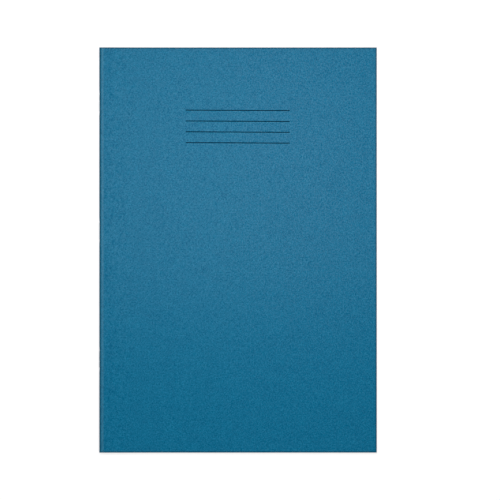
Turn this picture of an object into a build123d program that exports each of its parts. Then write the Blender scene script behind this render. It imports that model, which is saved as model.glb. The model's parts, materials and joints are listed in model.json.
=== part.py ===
from build123d import *
import os

# A saddle-stitched exercise book, closed and lying on its back cover.
# X runs from the spine to the fore edge, Y from tail to head, Z up through the front cover.
# The origin is in the middle of the footprint, on the surface that the book lies on.

# Trimmed book
book_height = 297.0  # tail to head
book_width = 203.5  # outside of the spine fold to the fore edge
sheet_count = 8  # folded sheets, each of them two leaves
paper_thickness = 0.10
card_thickness = 0.28
air_gap = 0.04  # between neighbouring leaves, and between the two halves of a fold

# Stitching wire
wire_diameter = 0.5
wire_clearance = 0.05  # around the legs in their slits and the bent ends in the centre fold
crown_length = 12.0  # leg to leg, between centrelines
clinch_length = 4.5  # leg's centreline to the end of the bent-over wire
crown_sink = 0.15  # how deep the crown is pressed into the spine
crown_clearance = 0.03  # around the crown in its groove
head_margin = 40.6  # head edge to the middle of the first staple
staple_pitch = 94.0
staple_names = ("staple_head", "staple_middle", "staple_tail")

# The folds are nested half cylinders. Their common axis is the line of the bent wire ends.
wire_radius = wire_diameter / 2
slit_width = wire_diameter + 2 * wire_clearance
groove_radius = wire_radius + crown_clearance
centre_radius = slit_width / 2  # inside of the innermost fold
leaf_pitch = paper_thickness + air_gap
cover_inner_radius = centre_radius + sheet_count * leaf_pitch
cover_outer_radius = cover_inner_radius + card_thickness
panel_length = book_width - cover_outer_radius
crown_offset = cover_outer_radius - crown_sink + wire_radius  # fold axis to crown axis
leaf_count = 2 * sheet_count

# The fold axis in the book's own frame
fold_axis_x = (crown_offset + wire_radius - panel_length) / 2
fold_axis_z = cover_outer_radius
to_book = Pos(fold_axis_x, 0, fold_axis_z)

staple_places = [
    book_height / 2 - head_margin - number * staple_pitch
    for number in range(len(staple_names))
]
leg_places = [
    place + side * crown_length / 2
    for place in staple_places
    for side in (-1, 1)
]


def panel(inner_radius, thickness):
    """A flat leaf or cover panel, from where its fold ends to the fore edge."""
    middle = Pos(panel_length / 2, 0, inner_radius + thickness / 2)
    return middle * Box(panel_length, book_height, thickness)


def pierced_fold(inner_radius, thickness):
    """The upper half of a fold: a quarter of a cylinder's wall, with half a slit for each staple leg."""
    outer_radius = inner_radius + thickness
    ring = Circle(outer_radius) - Circle(inner_radius)
    corner = Pos(-outer_radius / 2, (outer_radius + air_gap) / 2)
    section = ring & corner * Rectangle(outer_radius, outer_radius)
    fold = extrude(Plane.XZ * section, book_height / 2, both=True)
    slit = Box(2 * outer_radius, slit_width, slit_width)
    return fold - [Pos(-outer_radius, place, 0) * slit for place in leg_places]


def crown_groove(place):
    """The dent that a staple's crown lies in, along the outside of the spine."""
    length = crown_length + 2 * groove_radius
    return Pos(-crown_offset, place, 0) * Rot(90, 0, 0) * Cylinder(groove_radius, length)


def staple(place):
    """Crown along the spine, two legs through the folds, ends bent towards each other."""
    half = crown_length / 2
    clinch_end = half - clinch_length
    path = Polyline(
        (0, place - clinch_end),
        (0, place - half),
        (-crown_offset, place - half),
        (-crown_offset, place + half),
        (0, place + half),
        (0, place + clinch_end),
    )
    start = Plane(path @ 0, z_dir=path % 0)
    return sweep(start * Circle(wire_radius), path=path, transition=Transition.ROUND)


def write(node, solid):
    """One file for each node, in the book's own frame."""
    export_step(to_book * solid, f"parts/{node}.step")


def write_sheet(front_name, back_name, front_panel, front_fold):
    """The front half of a folded sheet, and the back half as its mirror image."""
    write(front_name, front_panel)
    write(front_name + "_fold", front_fold)
    write(back_name, mirror(front_panel, about=Plane.XY))
    write(back_name + "_fold", mirror(front_fold, about=Plane.XY))


os.makedirs("parts", exist_ok=True)

cover_panel = panel(cover_inner_radius, card_thickness)
cover_fold = pierced_fold(cover_inner_radius, card_thickness)
cover_fold -= [crown_groove(place) for place in staple_places]
write_sheet("front_cover", "back_cover", cover_panel, cover_fold)

for sheet in range(1, sheet_count + 1):
    sheets_inside = sheet_count - sheet
    sheet_radius = centre_radius + sheets_inside * leaf_pitch
    leaf_panel = panel(sheet_radius, paper_thickness)
    leaf_fold = pierced_fold(sheet_radius, paper_thickness)
    write_sheet(f"leaf_{sheet:02d}", f"leaf_{leaf_count + 1 - sheet:02d}", leaf_panel, leaf_fold)

for name, place in zip(staple_names, staple_places):
    write(name, staple(place))
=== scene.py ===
# %% [markdown]
# # A stapled exercise book
# A saddle-stitched book is one sheet of card and a few sheets of paper, folded together and held by wire
# staples through the fold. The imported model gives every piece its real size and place, and the bodies
# that turn. This lesson dresses that model: card, ruled paper and wire, then a plain studio seen from
# straight above.

# %% Load the frame
import json
import math
import random

import bmesh
import bpy
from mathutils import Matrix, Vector


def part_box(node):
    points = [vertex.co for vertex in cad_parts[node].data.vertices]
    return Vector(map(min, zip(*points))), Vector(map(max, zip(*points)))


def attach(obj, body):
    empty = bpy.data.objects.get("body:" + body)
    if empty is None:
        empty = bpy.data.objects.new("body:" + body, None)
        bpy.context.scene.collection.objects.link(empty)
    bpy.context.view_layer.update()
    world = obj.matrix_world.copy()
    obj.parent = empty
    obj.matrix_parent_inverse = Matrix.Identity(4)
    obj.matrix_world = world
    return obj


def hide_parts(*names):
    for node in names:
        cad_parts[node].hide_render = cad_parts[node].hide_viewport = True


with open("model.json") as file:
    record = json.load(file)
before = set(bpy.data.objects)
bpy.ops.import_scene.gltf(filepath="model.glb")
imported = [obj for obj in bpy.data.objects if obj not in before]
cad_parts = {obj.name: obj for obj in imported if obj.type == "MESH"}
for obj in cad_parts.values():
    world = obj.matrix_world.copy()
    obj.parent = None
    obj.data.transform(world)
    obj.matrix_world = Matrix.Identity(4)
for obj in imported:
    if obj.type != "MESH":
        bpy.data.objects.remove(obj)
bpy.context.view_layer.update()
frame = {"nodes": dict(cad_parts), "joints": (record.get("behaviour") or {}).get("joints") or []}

# %% [markdown]
# ## Sizes come from the frame
# Every flat panel starts where its fold ends, so the panels' boxes give the fold axis, the trimmed edges
# and the thickness of card and paper. The sizes could be typed in once more. Reading them keeps the looks
# in step with the model when a size changes.

# %% Measure the sheets
MM = 0.001
cover_low, cover_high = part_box("front_cover")
fold_x, fore_x = cover_low.x, cover_high.x
tail_y, head_y = cover_low.y, cover_high.y
spine_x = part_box("front_cover_fold")[0].x
middle_x = (spine_x + fore_x) / 2
hinge_x, _, fold_z = frame["joints"][0]["pos_m"]  # every joint turns about the line of the crowns
leaf_names = sorted(n for n in frame["nodes"] if n.startswith("leaf_") and not n.endswith("_fold"))
print("trimmed size in mm", round((fore_x - spine_x) / MM, 2), round((head_y - tail_y) / MM, 2))
print("leaves", len(leaf_names))

# %% [markdown]
# ## Sizes of the staples
# A staple's crown lies along the spine. The staple's box is one wire thick upwards, and along the spine
# it is as long as the crown and the wire's thickness together, so the wire and the places of the legs
# follow from it.

# %% Measure the staples
staple_names = ("staple_head", "staple_middle", "staple_tail")
staple_boxes = [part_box(name) for name in staple_names]
staple_places = [(low.y + high.y) / 2 for low, high in staple_boxes]
staple_low, staple_high = staple_boxes[0]
wire_radius = (staple_high.z - staple_low.z) / 2
crown_half = (staple_high.y - staple_low.y) / 2 - wire_radius
leg_places = [place + side * crown_half for place in staple_places for side in (-1, 1)]
print("staples at", [round(y / MM, 1) for y in staple_places], "wire in mm", round(2 * wire_radius / MM, 2))

# %% [markdown]
# ## Three small helpers
# Colours are written as they look on a screen, in sRGB hex, and Cycles works in linear light, so one
# function turns one into the other. The next adds a shader node with its settings and links, which keeps
# a material readable. The last starts a material. Its patterns are placed by object coordinates, which
# here are metres on the book, so that a pattern can be given its real size.

# %% Colour and node helpers
def linear(hex_colour):
    """sRGB hex to linear RGBA."""
    channels = [int(hex_colour[i : i + 2], 16) / 255 for i in (1, 3, 5)]
    return (*(c / 12.92 if c <= 0.04045 else ((c + 0.055) / 1.055) ** 2.4 for c in channels), 1.0)


def node(tree, kind, inputs=(), **settings):
    """A new shader node. A socket given as an input is linked, and any other value is set."""
    made = tree.nodes.new("ShaderNode" + kind)
    for name, value in settings.items():
        setattr(made, name, value)
    for socket, value in dict(inputs).items():
        if isinstance(value, bpy.types.NodeSocket):
            tree.links.new(value, made.inputs[socket])
        else:
            made.inputs[socket].default_value = value
    return made


def new_material(name):
    """A material with its tree, its shader and the place on the book, in metres."""
    material = bpy.data.materials.new(name)
    material.use_nodes = True
    tree = material.node_tree
    place = node(tree, "TexCoord").outputs["Object"]
    return material, tree, tree.nodes["Principled BSDF"], place


print("middle grey in linear light", round(linear("#808080")[0], 3))

# %% [markdown]
# ## Printed lines
# The cover has four lines to write on. The pages are ruled across, from head to tail, with thin lines that
# are widely spaced for young writers. Both are the same thing at two sizes: parallel lines at an even
# spacing. A texture image would blur up close. A few sums on the place across the lines give a mask that
# stays sharp at any distance.

# %% Ruling
TITLE_LINES = {"first": head_y - 46.14 * MM, "pitch": 7.95 * MM, "count": 4, "width": 0.64 * MM}
PAGE_LINES = {"first": head_y - 28 * MM, "pitch": 20 * MM, "count": 13, "width": 0.45 * MM}
ROUNDING = 0.1  # of a pitch, so that the outermost lines count too


def ruling(tree, across, first, pitch, count, width):
    """1 on each of a count of lines and 0 between. The first is at across = first, the rest below it."""
    below = node(tree, "Math", {0: first, 1: across}, operation="SUBTRACT").outputs[0]
    step = node(tree, "Math", {0: below, 1: pitch}, operation="DIVIDE").outputs[0]
    line = node(tree, "Math", {0: step}, operation="ROUND").outputs[0]
    on_line = node(tree, "Math", {0: step, 1: line, 2: width / 2 / pitch}, operation="COMPARE").outputs[0]
    middle = (count - 1) / 2
    in_count = node(tree, "Math", {0: line, 1: middle, 2: middle + ROUNDING}, operation="COMPARE").outputs[0]
    return node(tree, "Math", {0: on_line, 1: in_count}, operation="MULTIPLY").outputs[0]


for print_name, print_lines in (("title", TITLE_LINES), ("page", PAGE_LINES)):
    last = print_lines["first"] - (print_lines["count"] - 1) * print_lines["pitch"]
    print(print_name, "lines end", round((last - tail_y) / MM, 1), "mm above the tail")

# %% [markdown]
# ## Dyed manila card: the grain
# The cover is manila card, dyed through and finished matt on the paper machine. Its fibres took the dye
# unevenly, so the eye sees a fine grain with soft clouds in it.
# Real fibres are about 0.03 mm wide and 2 mm long. That is too thin to show, so they are drawn four times
# as wide, with flecks of about 1 mm where they bunch. A repeated picture of card would show its seams.
# Noise stretched in one direction looks like fibres that lie side by side, and the highest of three such
# layers, each with its own turn, like fibres that cross. The mapping is of the texture kind, whose sizes
# and turns are those of the pattern itself.

# %% Card grain
CARD_DARK, CARD_PALE = "#005175", "#0D7DA1"
FLECK_SIZE = 1 * MM
CLOUD_SIZE = 9 * MM
FIBRE_SIZE = (0.12 * MM, 2 * MM, 0.12 * MM)  # drawn four times as wide as real ones, so that they show
FIBRE_TURNS = (-0.9, -0.1, 0.6)  # radians from straight up the page
FIBRE_FROM, FIBRE_TO = 0.5, 0.8  # noise where a fibre starts to show, and where it shows in full
CLOUD_SHARE, FIBRE_SHARE = 0.06, 0.3  # of the grain, beside the flecks' share of 1
GRAIN_DARK, GRAIN_PALE = 0.45, 0.85  # grain that has the dark blue, and the pale one


def card_grain(tree, place):
    """The card's flecks and fibres, each as a value, and the colour that they give it together."""
    bunched = {"Vector": place, "Scale": 1 / FLECK_SIZE, "Detail": 7, "Roughness": 0.78}
    flecks = node(tree, "TexNoise", bunched).outputs["Fac"]
    clouds = node(tree, "TexNoise", {"Vector": place, "Scale": 1 / CLOUD_SIZE, "Detail": 2}).outputs["Fac"]
    highest = 0.0
    for turn in FIBRE_TURNS:
        lie = {"Vector": place, "Rotation": (0, 0, turn), "Scale": FIBRE_SIZE}
        run = node(tree, "Mapping", lie, vector_type="TEXTURE").outputs["Vector"]
        strand = node(tree, "TexNoise", {"Vector": run, "Scale": 1.0, "Detail": 1}).outputs["Fac"]
        highest = node(tree, "Math", {0: strand, 1: highest}, operation="MAXIMUM").outputs[0]
    shown = {"Value": highest, "From Min": FIBRE_FROM, "From Max": FIBRE_TO}
    fibres = node(tree, "MapRange", shown).outputs["Result"]
    grain = node(tree, "Math", {0: clouds, 1: CLOUD_SHARE, 2: flecks}, operation="MULTIPLY_ADD").outputs[0]
    grain = node(tree, "Math", {0: fibres, 1: FIBRE_SHARE, 2: grain}, operation="MULTIPLY_ADD").outputs[0]
    dyed = node(tree, "MapRange", {"Value": grain, "From Min": GRAIN_DARK, "From Max": GRAIN_PALE})
    blues = {"Factor": dyed.outputs["Result"], "A": linear(CARD_DARK), "B": linear(CARD_PALE)}
    colour = node(tree, "Mix", blues, data_type="RGBA").outputs["Result"]
    return flecks, fibres, colour


print("fibres drawn, width and length in mm", [round(size / MM, 2) for size in FIBRE_SIZE[:2]])

# %% [markdown]
# ## Dyed manila card: painted shade and the stretched fold
# The card is painted darker along the trimmed edges and along the spine, as painted shade where the edges
# and the fold turn away from the light. Next to the spine the fold stretches the fibres and leaves them a
# little paler and greyer, and the band also carries a painted highlight where the fold's shoulder catches
# the light.
# These bands could be painted by hand. Worked out from the distance to the nearest edge, they follow the
# book when its size changes.

# %% Card painted shade and stretch
# The darker colour is painted shade; the paler one is stretched card with a painted highlight.
CARD_PAINTED_SHADE, CARD_STRETCHED_AND_HIGHLIT = "#03384C", "#588898"
EDGE_DARK = 0.7 * MM  # from the edge to where the painted shade starts to fade
EDGE_SHADE_END = 1.5 * MM  # and to where it has faded out
SPINE_SHADE_END = 1.95 * MM  # the same from the spine
SHADE_SHARE = 0.56  # of the painted shade's colour, up to where it starts to fade
FOLD_SHIFT = 0.7 * MM  # from where the fold ends to the middle of the stretched band with its painted highlight
FOLD_BAND = 1.6 * MM  # from that middle to where the band has faded out
STRETCH_AND_HIGHLIGHT_SHARE = 0.25  # of the stretched colour with its painted highlight, in the middle of the band


def card_shade_and_stretch(tree, axes, colour):
    """The card's colour with painted shade along the edges and spine, and a stretched band with painted
    highlight.
    """
    x, y = axes.outputs["X"], axes.outputs["Y"]
    from_middle = node(tree, "Math", {0: y}, operation="ABSOLUTE").outputs[0]
    from_end = node(tree, "Math", {0: head_y, 1: from_middle}, operation="SUBTRACT").outputs[0]
    from_fore = node(tree, "Math", {0: fore_x, 1: x}, operation="SUBTRACT").outputs[0]
    from_trim = node(tree, "Math", {0: from_end, 1: from_fore}, operation="MINIMUM").outputs[0]
    from_spine = node(tree, "Math", {0: x, 1: spine_x}, operation="SUBTRACT").outputs[0]
    as_trim = {0: from_spine, 1: EDGE_SHADE_END / SPINE_SHADE_END}  # so that one fading does for both
    from_spine = node(tree, "Math", as_trim, operation="MULTIPLY").outputs[0]
    from_edge = node(tree, "Math", {0: from_trim, 1: from_spine}, operation="MINIMUM").outputs[0]
    # painted shade: darker towards the trimmed edges and the spine, where they turn away from the light
    width = {"From Min": EDGE_DARK, "From Max": EDGE_SHADE_END}
    fading = {"Value": from_edge, **width, "To Min": SHADE_SHARE, "To Max": 0.0}
    edge_shade = node(tree, "MapRange", fading, interpolation_type="SMOOTHSTEP").outputs["Result"]
    darker = {"Factor": edge_shade, "A": colour, "B": linear(CARD_PAINTED_SHADE)}
    colour = node(tree, "Mix", darker, data_type="RGBA").outputs["Result"]

    # paler band by the fold: stretched fibres, and a painted highlight on the fold's shoulder
    from_band = node(tree, "Math", {0: x, 1: fold_x + FOLD_SHIFT}, operation="SUBTRACT").outputs[0]
    from_band = node(tree, "Math", {0: from_band}, operation="ABSOLUTE").outputs[0]
    fading = {"Value": from_band, "From Max": FOLD_BAND, "To Min": STRETCH_AND_HIGHLIGHT_SHARE, "To Max": 0.0}
    stretch_and_highlight = node(tree, "MapRange", fading, interpolation_type="SMOOTHSTEP").outputs["Result"]
    paler = {"Factor": stretch_and_highlight, "A": colour, "B": linear(CARD_STRETCHED_AND_HIGHLIT)}
    return node(tree, "Mix", paler, data_type="RGBA").outputs["Result"]


print("stretched band", round((fold_x + FOLD_SHIFT - spine_x) / MM, 2), "mm from the spine")

# %% [markdown]
# ## Dyed manila card: the writing lines
# The four lines are printed in dark ink, in the upper part of the front cover. They could be thin meshes
# laid on the card, but ink has no thickness that shows, so they are a mask for the card's material.
# Sheets are never fed quite square into a press, so the print is tilted a little and stands a little off
# the middle.

# %% Title lines
TITLE_INK = "#001B2A"
TITLE_LENGTH = 76.2 * MM
TITLE_LEFT_OF_MIDDLE = 0.2 * MM
TITLE_TILT = math.radians(0.28)


def title_lines(tree, axes):
    """1 on the cover's writing lines and 0 elsewhere."""
    shift = {0: axes.outputs["X"], 1: middle_x - TITLE_LEFT_OF_MIDDLE}
    along = node(tree, "Math", shift, operation="SUBTRACT").outputs[0]
    tilted = {0: along, 1: math.tan(TITLE_TILT), 2: axes.outputs["Y"]}
    across = node(tree, "Math", tilted, operation="MULTIPLY_ADD").outputs[0]
    lines = ruling(tree, across, **TITLE_LINES)
    in_length = node(tree, "Math", {0: along, 1: 0.0, 2: TITLE_LENGTH / 2}, operation="COMPARE").outputs[0]
    return node(tree, "Math", {0: lines, 1: in_length}, operation="MULTIPLY").outputs[0]


print("title lines fall", round(TITLE_LENGTH * math.tan(TITLE_TILT) / MM, 2), "mm from left to right")

# %% [markdown]
# ## Dyed manila card: the surface
# Matt card has a dull sheen where light comes off at the mirror angle. Uncoated card is typically about
# 0.5 rough. The sheen on this one is narrower, so it is matched with less. Fibres that stand proud are
# polished and shine, the hollows between them don't, and neither does the ink. One roughness and one
# shine for all of it would look like plastic, so both follow the flecks, and the fibres stand out by a
# bump that is too low for a mesh.

# %% Card materials
CARD_SHINE = 0.203  # specular level of the proudest fibres, where plain plastic has 0.5
PROUD_FROM, PROUD_TO = 0.38, 0.65  # flecks that start to shine, and that shine in full
CARD_SMOOTHEST, CARD_ROUGHEST = 0.26, 0.36
FIBRE_HEIGHT = 0.02 * MM
FIBRE_RELIEF = 0.35  # strength of the bump


def card_material(name, printed):
    """Matt card, with or without the writing lines."""
    material, tree, shader, place = new_material(name)
    axes = node(tree, "SeparateXYZ", {"Vector": place})
    flecks, fibres, colour = card_grain(tree, place)
    # painted shade at the edges and spine, and the stretched band's painted highlight
    colour = card_shade_and_stretch(tree, axes, colour)
    proud = {"Value": flecks, "From Min": PROUD_FROM, "From Max": PROUD_TO, "To Max": CARD_SHINE}
    shine = node(tree, "MapRange", proud).outputs["Result"]
    if printed:
        lines = title_lines(tree, axes)
        inked = {"Factor": lines, "A": colour, "B": linear(TITLE_INK)}
        colour = node(tree, "Mix", inked, data_type="RGBA").outputs["Result"]
        bare = node(tree, "Math", {0: 1.0, 1: lines}, operation="SUBTRACT").outputs[0]
        shine = node(tree, "Math", {0: shine, 1: bare}, operation="MULTIPLY").outputs[0]
    rough = node(tree, "MapRange", {"Value": flecks, "To Min": CARD_SMOOTHEST, "To Max": CARD_ROUGHEST})
    relief = node(tree, "Bump", {"Height": fibres, "Strength": FIBRE_RELIEF, "Distance": FIBRE_HEIGHT})
    tree.links.new(colour, shader.inputs["Base Color"])
    tree.links.new(rough.outputs["Result"], shader.inputs["Roughness"])
    tree.links.new(shine, shader.inputs["Specular IOR Level"])
    tree.links.new(relief.outputs["Normal"], shader.inputs["Normal"])
    return material


printed_card = card_material("manila_card_dyed_and_printed", True)
plain_card = card_material("manila_card_dyed", False)
print("card materials", printed_card.name, plain_card.name)

# %% [markdown]
# ## Ruled paper
# The leaves are uncoated woodfree paper, which is bright, slightly warm and fully matt: typically 0.8 to
# 0.9 rough. Both sides are ruled from edge to edge with thin grey lines, and there is no margin line. On
# the trimmed edges each leaf takes the light a little differently, so the eye sees fine layers. One
# material with a mask could do both. Two are simpler: on the cut edge the clouds of the paper are pressed
# flat, to the pitch of the leaves.

# %% Paper materials
PAGE_INK = "#8E9195"
PAPER_CLOUD = 2.5 * MM
PAPER_TOOTH = 0.3 * MM  # paper fibres are finer, and are drawn coarser so that they show
TOOTH_HEIGHT = 0.02 * MM
TOOTH_RELIEF = 0.2  # strength of the bump
PAPER_ROUGHNESS = 0.85
PAPER_SHINE = 0.2  # specular level
leaf_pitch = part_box("leaf_01")[0].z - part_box("leaf_02")[0].z


def paper_material(name, ruled, pale, dark):
    """Uncoated paper, ruled or as a cut edge."""
    material, tree, shader, place = new_material(name)
    cloud_place = place
    if not ruled:
        pressed = {"Vector": place, "Scale": (1, 1, PAPER_CLOUD / leaf_pitch)}
        cloud_place = node(tree, "Mapping", pressed).outputs["Vector"]
    cloudy = {"Vector": cloud_place, "Scale": 1 / PAPER_CLOUD, "Detail": 5, "Roughness": 0.6}
    clouds = node(tree, "TexNoise", cloudy).outputs["Fac"]
    whites = {"Factor": clouds, "A": linear(dark), "B": linear(pale)}
    colour = node(tree, "Mix", whites, data_type="RGBA").outputs["Result"]
    if ruled:
        across = node(tree, "SeparateXYZ", {"Vector": place}).outputs["Y"]
        inked = {"Factor": ruling(tree, across, **PAGE_LINES), "A": colour, "B": linear(PAGE_INK)}
        colour = node(tree, "Mix", inked, data_type="RGBA").outputs["Result"]
    tooth = node(tree, "TexNoise", {"Vector": place, "Scale": 1 / PAPER_TOOTH, "Detail": 3}).outputs["Fac"]
    relief = node(tree, "Bump", {"Height": tooth, "Strength": TOOTH_RELIEF, "Distance": TOOTH_HEIGHT})
    tree.links.new(colour, shader.inputs["Base Color"])
    tree.links.new(relief.outputs["Normal"], shader.inputs["Normal"])
    shader.inputs["Roughness"].default_value = PAPER_ROUGHNESS
    shader.inputs["Specular IOR Level"].default_value = PAPER_SHINE
    return material


ruled_paper = paper_material("woodfree_paper_ruled", True, "#F6F5F0", "#ECEBE4")
cut_paper = paper_material("woodfree_paper_cut_edge", False, "#FFFEF8", "#D0CCC1")
print("paper materials", ruled_paper.name, cut_paper.name)

# %% [markdown]
# ## Galvanised stitching wire
# The wire is steel with a thin zinc coat, drawn through a die, which leaves fine streaks along its
# length. It is a metal, so its colour is in the reflection. One even grey would look like plastic, so the
# streaks change the brightness a little and the roughness more, around the 0.3 of drawn zinc.

# %% Wire material
ZINC_DULL, ZINC_BRIGHT = "#BCBFC2", "#E6E8E9"
STREAK_SIZE = (0.08 * MM, 3 * MM, 0.08 * MM)  # real streaks are finer, and are drawn coarser to show
ZINC_SMOOTHEST, ZINC_ROUGHEST = 0.22, 0.45
steel_wire, tree, shader, place = new_material("steel_wire_galvanised_and_drawn")
drawn_out = {"Vector": place, "Scale": STREAK_SIZE}
drawn = node(tree, "Mapping", drawn_out, vector_type="TEXTURE").outputs["Vector"]
streaks = node(tree, "TexNoise", {"Vector": drawn, "Scale": 1.0, "Detail": 2}).outputs["Fac"]
greys = {"Factor": streaks, "A": linear(ZINC_DULL), "B": linear(ZINC_BRIGHT)}
zinc = node(tree, "Mix", greys, data_type="RGBA")
rough = node(tree, "MapRange", {"Value": streaks, "To Min": ZINC_SMOOTHEST, "To Max": ZINC_ROUGHEST})
tree.links.new(zinc.outputs["Result"], shader.inputs["Base Color"])
tree.links.new(rough.outputs["Result"], shader.inputs["Roughness"])
shader.inputs["Metallic"].default_value = 1.0
print("wire material", steel_wire.name)

# %% [markdown]
# ## Half a folded sheet: how the book closes up
# The bent wire ends hold the centre of the book open at the fold. Away from it the upper half sinks until
# the pages meet, and there paper is drawn a little thicker than it is, so that the page block closes up
# as it does in the hand. A cloth simulation could find that shape. It is the same for every sheet, so one
# curve along the page does.

# %% Sheet sizes
PAGE_GAP = 0.01 * MM  # left between neighbouring leaves, and between the two halves of a fold
SINK_LENGTH = 45 * MM  # from the fold to where the pages meet


def layer_height(node_name):
    """How far the middle of a panel's thickness lies above the fold axis, or below it if negative."""
    low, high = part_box(node_name)
    return (low.z + high.z) / 2 - fold_z


def smooth(t):
    """0 up to 0, 1 from 1, and an even curve between."""
    t = min(max(t, 0), 1)
    return t * t * (3 - 2 * t)


cover_radius = layer_height("front_cover")
inner_radius = min(abs(layer_height(name)) for name in leaf_names)
page_thickness = leaf_pitch - PAGE_GAP
sink = 2 * inner_radius - page_thickness - 2 * PAGE_GAP
print("fold radii in mm", round(inner_radius / MM, 2), "to", round(cover_radius / MM, 2))
print("the upper half sinks by", round(sink / MM, 2), "mm")

# %% [markdown]
# ## Half a folded sheet: rows and columns
# Card and paper bend the same way: flat from the fore edge to the fold, then round a quarter circle to
# the middle of the spine, where the other half takes over. A grid bends well if its lines lie where
# something happens: at the slits for the staples' legs, round the fold, and where the page sinks. An even
# grid would need many more faces. A staple is pulled tight, so the fold is drawn in a little under its
# crown.

# %% Grid lines
PULL_SHOULDER = 4 * MM  # from the end of the crown to where the fold is round again
SLIT_CLEARANCE = 0.05 * MM  # around a staple's leg
FORE_STRIP = 1 * MM  # a narrow column keeps the shading flat up to the fore edge
FOLD_STRIPS = (2 * MM, 0.4 * MM)  # and two up to the fold
SINK_STEPS = 8  # columns over the length in which the page sinks
ARC_STEP = math.radians(9)  # largest step round the fold
SEAM_STRIP = math.radians(1)  # a narrow column keeps the shading round up to the seam
slit_half = wire_radius + SLIT_CLEARANCE


def staple_pull(y):
    """1 under a crown, 0 away from it, with a smooth shoulder between."""
    return smooth(1 - (min(abs(y - place) for place in staple_places) - crown_half) / PULL_SHOULDER)


def rows_between(tail, head):
    """Places along the spine: both ends, the edges of the slits, and enough others for a smooth pull."""
    reach = crown_half + PULL_SHOULDER
    rows = {tail, head}
    for place in staple_places:
        for offset in (0, crown_half / 3, crown_half * 2 / 3, reach - PULL_SHOULDER / 2, reach):
            rows |= {place - offset, place + offset}
    for leg in leg_places:
        rows |= {leg - slit_half, leg + slit_half}
    return sorted(rows)


def flat_columns(fore):
    """Distances from the fold, from the fore edge inwards."""
    sinking = [SINK_LENGTH * step / SINK_STEPS for step in range(SINK_STEPS, 0, -1)]
    return [fore, fore - FORE_STRIP, fore / 2, *sinking, *FOLD_STRIPS]


def even_steps(start, end):
    """Angles from start up to, but not including, end."""
    count = math.ceil((end - start) / ARC_STEP)
    return [start + (end - start) * step / count for step in range(count)]


def fold_angles(radius, slit_radius):
    """Angles round a fold: those before the slits, which start at slit_radius, and those on to the seam."""
    slit = math.acos((wire_radius + 2 * PAGE_GAP) / slit_radius)
    seam = math.acos(PAGE_GAP / 2 / radius)
    return even_steps(0, slit), even_steps(slit, seam) + [seam - SEAM_STRIP, seam]


print("rows", len(rows_between(tail_y, head_y)), "flat columns", len(flat_columns(fore_x - fold_x)))

# %% [markdown]
# ## Half a folded sheet: the bent layer
# One grid of the sheet's middle layer is bent in code, and cells are left out where a staple leg goes
# through. A flat sheet bent by modifiers would be hard to stop exactly at the slits. The pull of the
# staples is most on the cover and least inside, and the knife leaves each sheet's trim a little uneven,
# by seeded draws.

# %% Bend the layer
PULL = 0.17 * MM  # how far a staple draws the cover's fold in
TRIM_SCATTER = 0.06 * MM  # unevenness of the trimmed edges
trim = random.Random(4)


def bent_layer(name, height, thickness):
    """The middle layer of half a sheet, at a height over the fold axis and with a thickness at the fold."""
    radius, side = abs(height), math.copysign(1, height)
    pull = PULL * (radius - inner_radius) / (cover_radius - inner_radius)
    flat = flat_columns(fore_x - fold_x - trim.uniform(0, TRIM_SCATTER))
    rows = rows_between(tail_y + trim.uniform(0, TRIM_SCATTER), head_y - trim.uniform(0, TRIM_SCATTER))
    before_slit, past_slit = fold_angles(radius, radius - thickness / 2 - pull)

    sheet = bmesh.new()
    closed_up = sheet.verts.layers.deform.verify()
    grid = []
    for y in rows:
        line = []
        for x in flat:
            met = smooth(x / SINK_LENGTH)
            drop = sink * met if side > 0 else 0
            line.append(sheet.verts.new((fold_x + x, y, fold_z + height - drop)))
            line[-1][closed_up][0] = met
        for angle in before_slit + past_slit:
            bent = radius - pull * staple_pull(y) * math.sin(angle) ** 2
            x, z = -bent * math.sin(angle), side * bent * math.cos(angle)
            line.append(sheet.verts.new((fold_x + x, y, fold_z + z)))
        grid.append(line)

    first_slit_column = len(flat) + len(before_slit)
    for y, next_y, line, next_line in zip(rows, rows[1:], grid, grid[1:]):
        in_slit = min(abs((y + next_y) / 2 - leg) for leg in leg_places) < slit_half
        columns = first_slit_column if in_slit else len(line) - 1
        for column in range(columns):
            corners = [line[column], next_line[column], next_line[column + 1], line[column + 1]]
            sheet.faces.new(corners if side > 0 else corners[::-1])
    loose = [corner for corner in sheet.verts if not corner.link_faces]
    bmesh.ops.delete(sheet, geom=loose, context="VERTS")
    layer = bpy.data.meshes.new(name)
    sheet.to_mesh(layer)
    sheet.free()
    return layer


print("trim scatter in mm", round(TRIM_SCATTER / MM, 2), "pull of a staple", round(PULL / MM, 2))

# %% [markdown]
# ## Half a folded sheet: its thickness
# A Solidify modifier gives the layer its real thickness, with other materials on the far side and on the
# cut rim. Both faces could be built in code as well, but the modifier keeps an even thickness round the
# fold by itself. Where two halves meet in the spine there is no cut in the real sheet. Those faces show
# only in an open book's gutter, where the eye expects a page that runs on, so all of them are given ruled
# paper, the cover's too.

# %% Thicken the layer
SMOOTH_LIMIT = math.radians(35)  # sharper edges are shaded as corners
SEAM_UPRIGHT = 0.9  # least upward or downward part of a seam face's normal


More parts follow.
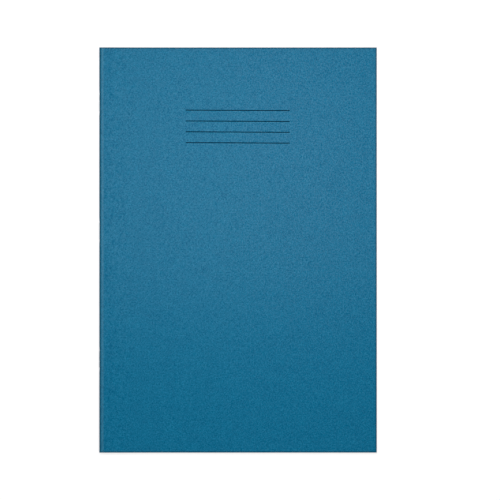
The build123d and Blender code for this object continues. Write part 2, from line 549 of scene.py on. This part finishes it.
def half_sheet(node_name, materials):
    """The front or back half of a folded sheet as one bent piece, from the box of its flat panel."""
    low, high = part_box(node_name)
    folded = high.z - low.z
    flat_thickness = page_thickness if node_name in leaf_names else folded
    layer = bent_layer(node_name + "_layer", layer_height(node_name), folded)
    for material in materials:
        layer.materials.append(material)
    piece = bpy.data.objects.new(node_name + "_sheet", layer)
    bpy.context.scene.collection.objects.link(piece)
    piece.vertex_groups.new(name="closed_up")
    thick = piece.modifiers.new("thickness", "SOLIDIFY")
    thick.thickness = flat_thickness
    thick.vertex_group = "closed_up"
    thick.thickness_vertex_group = folded / flat_thickness
    thick.offset = 0
    thick.use_even_offset = True
    thick.material_offset = 1
    thick.material_offset_rim = 2
    bpy.context.view_layer.update()
    solid = bpy.data.meshes.new_from_object(piece.evaluated_get(bpy.context.evaluated_depsgraph_get()))
    piece.modifiers.clear()
    piece.data = solid
    solid.name = piece.name
    solid.shade_smooth()
    solid.set_sharp_from_angle(angle=SMOOTH_LIMIT)
    for face in solid.polygons:
        if abs(face.center.z - fold_z) < PAGE_GAP and abs(face.normal.z) > SEAM_UPRIGHT:
            face.material_index = materials.index(ruled_paper)
    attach(piece, node_name)
    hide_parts(node_name, node_name + "_fold")
    return piece


print("pages are drawn", round(page_thickness / MM, 2), "mm thick where they meet")

# %% [markdown]
# ## Cover and leaves
# The cover is card inside and out, and only the outside of its front half is printed. The leaves are all
# alike, so a loop makes them. Each piece rides on the body that carries its panel and stands for two
# nodes, panel and half fold.

# %% Make the sheets
covers = [
    half_sheet("front_cover", (printed_card, plain_card, plain_card, ruled_paper)),
    half_sheet("back_cover", (plain_card, plain_card, plain_card, ruled_paper)),
]
leaf_materials = (ruled_paper, ruled_paper, cut_paper)
leaves = [half_sheet(name, leaf_materials) for name in leaf_names]
print("sheets", len(covers) + len(leaves), "faces", sum(len(p.data.polygons) for p in covers + leaves))

# %% [markdown]
# ## Staples
# A stitching head cuts the wire, bends two legs, drives them through the fold and bends the ends flat
# inside. Cylinders and elbows could be joined for that. A curve with a round bevel is wire already: the
# path needs only its corners, and an arc of a few points at each bend.

# %% Bend the wire
CLINCH_LENGTH = 4.5 * MM  # from a leg to the end of the bent-over wire
BEND_RADIUS = 0.32 * MM
BEND_STEPS = 6
WIRE_SIDES = 14  # of its round section


def bent_path(corners):
    """The corner points with each inner corner replaced by an arc."""
    points = [corners[0]]
    for before, corner, after in zip(corners, corners[1:], corners[2:]):
        way_in, way_out = (corner - before).normalized(), (after - corner).normalized()
        centre = corner + (way_out - way_in) * BEND_RADIUS
        for step in range(BEND_STEPS + 1):
            turn = math.pi / 2 * step / BEND_STEPS
            points.append(centre + (way_in * math.sin(turn) - way_out * math.cos(turn)) * BEND_RADIUS)
    return points + [corners[-1]]


def wire_mesh(points, name):
    """Round wire along a path, with flat ends."""
    line = bpy.data.curves.new(name, "CURVE")
    line.dimensions = "3D"
    line.bevel_depth = wire_radius
    line.bevel_resolution = WIRE_SIDES // 2 - 2
    line.use_fill_caps = True
    spline = line.splines.new("POLY")
    spline.points.add(len(points) - 1)
    for point, target in zip(points, spline.points):
        target.co = (*point, 1)
    bent = bpy.data.objects.new(name, line)
    bpy.context.scene.collection.objects.link(bent)
    bpy.context.view_layer.update()
    mesh = bpy.data.meshes.new_from_object(bent.evaluated_get(bpy.context.evaluated_depsgraph_get()))
    bpy.data.objects.remove(bent)
    return mesh


def staple(name, place):
    """One wire staple, in the plane between the two halves of the fold."""
    end = crown_half - CLINCH_LENGTH
    path = [(fold_x, -end), (fold_x, -crown_half), (hinge_x, -crown_half)]
    path += [(x, -y) for x, y in reversed(path)]
    mesh = wire_mesh(bent_path([Vector((x, place + y, fold_z)) for x, y in path]), name + "_line")
    mesh.materials.clear()
    mesh.materials.append(steel_wire)
    mesh.shade_smooth()
    mesh.set_sharp_from_angle(angle=SMOOTH_LIMIT)
    wire = bpy.data.objects.new(name + "_wire", mesh)
    bpy.context.scene.collection.objects.link(wire)
    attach(wire, "leaf_09")
    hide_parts(name)
    return wire


wires = [staple(name, place) for name, place in zip(staple_names, staple_places)]
print("staples", len(wires), "faces", sum(len(w.data.polygons) for w in wires))

# %% [markdown]
# ## A plain white floor
# The book lies on a white board. More light would turn it white in the picture and wash out the book. So
# near the book the board is matt, which keeps the soft shadow, and is lifted towards white, and far from
# the book it turns into the plain white of the background, so that no horizon shows. The lift and the
# white are there only for rays that come from the camera, a reflection or glass, so the book gets no
# light from them.

# %% Floor
FLOOR_SIZE = 30.0
FLOOR_DROP = 0.05 * MM  # below the book, so that no two faces lie in one plane
half, level = FLOOR_SIZE / 2, -FLOOR_DROP
floor_corners = [(-half, -half, level), (half, -half, level), (half, half, level), (-half, half, level)]
floor_mesh = bpy.data.meshes.new("floor")
floor_mesh.from_pydata(floor_corners, [], [(0, 1, 2, 3)])
floor = bpy.data.objects.new("floor", floor_mesh)
bpy.context.scene.collection.objects.link(floor)
print("floor", FLOOR_SIZE, "m wide")

# %% [markdown]
# ## The board's material
# Matt white board is a plain diffuse surface. Glowing white alone would be simpler, but it shows no shadow.
# The light path says what kind of ray looks at the board, and the distance from the book says how far the
# board has turned into background. A mix of shaders puts the two together.

# %% Board material
WHITE, BOARD_GREY = "#FFFFFF", "#C6C6C6"
BOARD_LIFT = 0.58
FADE_FROM, FADE_TO = 0.25, 0.55  # metres from the middle of the book


def seen_directly(tree):
    """1 for rays from the camera, a reflection or glass, and 0 for rays that only carry light."""
    path = node(tree, "LightPath").outputs
    kinds = {0: path["Is Camera Ray"], 1: path["Is Glossy Ray"]}
    seen = node(tree, "Math", kinds, operation="MAXIMUM").outputs[0]
    return node(tree, "Math", {0: seen, 1: path["Is Transmission Ray"]}, operation="MAXIMUM").outputs[0]


board_material, tree, shader, place = new_material("matt_white_board")
tree.nodes.remove(shader)
floor_mesh.materials.append(board_material)
seen = seen_directly(tree)
board = node(tree, "BsdfDiffuse", {"Color": linear(BOARD_GREY)})
lift_strength = node(tree, "Math", {0: seen, 1: BOARD_LIFT}, operation="MULTIPLY").outputs[0]
lift = node(tree, "Emission", {"Color": linear(WHITE), "Strength": lift_strength})
near = node(tree, "AddShader", {0: board.outputs[0], 1: lift.outputs[0]})
white = node(tree, "Emission", {"Color": linear(WHITE), "Strength": 1.0})
distance = node(tree, "VectorMath", {0: place}, operation="LENGTH").outputs["Value"]
fading = {"Value": distance, "From Min": FADE_FROM, "From Max": FADE_TO}
fade = node(tree, "MapRange", fading, interpolation_type="SMOOTHSTEP").outputs["Result"]
far = node(tree, "Math", {0: fade, 1: seen}, operation="MULTIPLY").outputs[0]
sweep = node(tree, "MixShader", {0: far, 1: near.outputs[0], 2: white.outputs[0]})
tree.links.new(sweep.outputs[0], tree.nodes["Material Output"].inputs["Surface"])
print("board turns white from", FADE_FROM, "to", FADE_TO, "m")

# %% [markdown]
# ## World
# A white room fills the shadows. Seen directly it is plain white, as paper behind a studio table is. As
# light it is much weaker, so that a colour renders about as it is written. An image of a real room would
# tint the book.

# %% Studio world
ROOM_LIGHT = 0.32
world = bpy.data.worlds.new("studio")
bpy.context.scene.world = world
world.use_nodes = True
tree = world.node_tree
tree.nodes.clear()
room = node(tree, "MapRange", {"Value": seen_directly(tree), "To Min": ROOM_LIGHT, "To Max": 1.0})
sky = node(tree, "Background", {"Color": linear(WHITE), "Strength": room.outputs["Result"]})
node(tree, "OutputWorld", {"Surface": sky.outputs[0]})
print("room light", ROOM_LIGHT)

# %% [markdown]
# ## Light
# A small softbox hangs over the head half of the book. It gives the card its dull sheen there, and the
# tail half stays deeper in colour. A wide one fills in from above. Four low ones stand round the book for
# the cut edges and the spine, which lamps from above leave dark. Only the first shows in a sheen. A sun
# would be simpler, but its shadow is hard and its light even, and here the light has to fall off from
# head to tail.

# %% Softboxes
HEAD_BOX = {"place": (0.0, 0.1, 0.45), "target": (0.0, 0.1, 0.0), "size": (0.32, 0.3), "power": 1.42}
FILL_BOX = {"place": (0.35, -0.45, 1.2), "target": (0.0, -0.05, 0.0), "size": (1.2, 1.2), "power": 0.7}
LOW_BOX = {"target": (0.0, 0.0, 0.0), "size": (1.6, 0.6), "power": 2.4}
LOW_BOX_HEIGHT = 0.35
LOW_BOX_PLACES = {"head": (0.3, 1.1), "fore": (1.1, -0.3), "tail": (-0.3, -1.1), "spine": (-1.1, 0.3)}


def softbox(name, place, target, size, power, shows):
    """A wide lamp, turned to a target. The camera never sees it, and a sheen does only if it shows."""
    lamp = bpy.data.lights.new(name, "AREA")
    lamp.shape = "RECTANGLE"
    lamp.size, lamp.size_y = size
    lamp.energy = power
    box = bpy.data.objects.new(name, lamp)
    bpy.context.scene.collection.objects.link(box)
    box.location = place
    box.rotation_euler = (Vector(target) - Vector(place)).to_track_quat("-Z", "Y").to_euler()
    box.visible_camera = False
    box.visible_glossy = shows


softbox("softbox_over_head", **HEAD_BOX, shows=True)
softbox("softbox_fill", **FILL_BOX, shows=False)
for edge, (x, y) in LOW_BOX_PLACES.items():
    softbox("softbox_low_" + edge, (x, y, LOW_BOX_HEIGHT), **LOW_BOX, shows=False)

# %% [markdown]
# ## Camera
# The view is from straight above, with the head at the top of the picture. A new camera looks straight
# down already, so it is only moved. The lens could be found by trial. It follows from the camera's height
# and from the length on the cover that the picture's width takes in. The camera stands a little to the
# right of the book's middle.

# %% Set the camera
PICTURE_WIDTH = 366.35 * MM  # on the cover
BOOK_LEFT_OF_CENTRE = 8.81 * MM
CAMERA_HEIGHT = 1.5
camera = bpy.data.cameras.new("camera")
camera.lens = camera.sensor_width * CAMERA_HEIGHT / PICTURE_WIDTH
eye = bpy.data.objects.new("camera", camera)
bpy.context.scene.collection.objects.link(eye)
eye.location = (middle_x + BOOK_LEFT_OF_CENTRE, 0, cover_high.z + CAMERA_HEIGHT)
bpy.context.scene.camera = eye
bpy.context.scene.view_settings.view_transform = "Standard"
print("lens in mm", round(camera.lens, 1))
